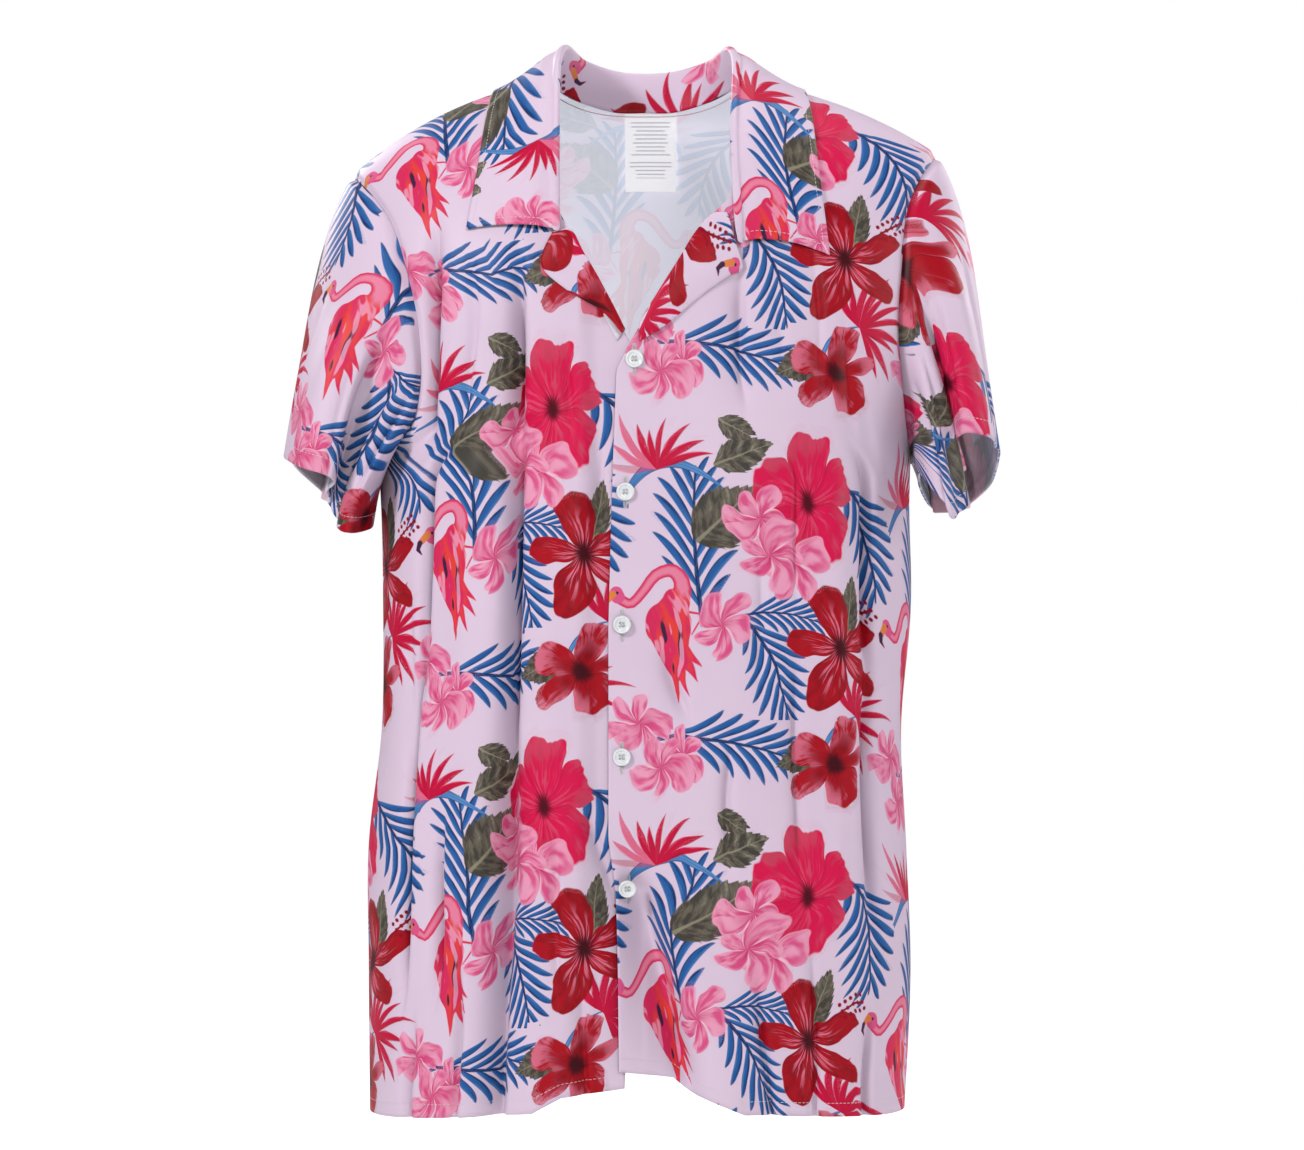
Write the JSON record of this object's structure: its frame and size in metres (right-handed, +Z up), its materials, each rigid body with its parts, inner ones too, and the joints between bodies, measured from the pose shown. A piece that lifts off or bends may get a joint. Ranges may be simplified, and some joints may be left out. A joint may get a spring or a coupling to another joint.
{
  "type": "hawaiian shirt",
  "caption": "Short-sleeved camp-collar shirt in smooth printed cloth, buttoned down the front, filled out as worn and open at the neck, hem and cuffs.",
  "frame": {"origin": "the middle of the neck opening at shoulder height, where the wearer's shoulders carry the shirt", "axes": "+Z up, the shirt faces -Y, the wearer's left is +X"},
  "size_m": [0.4916, 0.2354, 0.7332],
  "materials": {
    "back": "smooth satin, printed with flowers and leaves",
    "front_left": "smooth satin, printed with flowers and leaves",
    "front_right": "smooth satin, printed with flowers and leaves",
    "sleeve_left": "smooth satin, printed with flowers and leaves",
    "sleeve_right": "smooth satin, printed with flowers and leaves",
    "collar": "smooth satin, printed with flowers and leaves",
    "lapel_left": "smooth satin, printed with flowers and leaves",
    "lapel_right": "smooth satin, printed with flowers and leaves",
    "label": "white satin",
    "buttons": "white, polished"
  },
  "bodies": {
    "root": {"back": "back", "front_left": "front_left", "front_right": "front_right", "sleeve_left": "sleeve_left", "sleeve_right": "sleeve_right", "collar": "collar", "lapel_left": "lapel_left", "lapel_right": "lapel_right", "label": "label", "button_1": "buttons", "button_2": "buttons", "button_3": "buttons", "button_4": "buttons", "button_5": "buttons"}
  },
  "joints": []
}
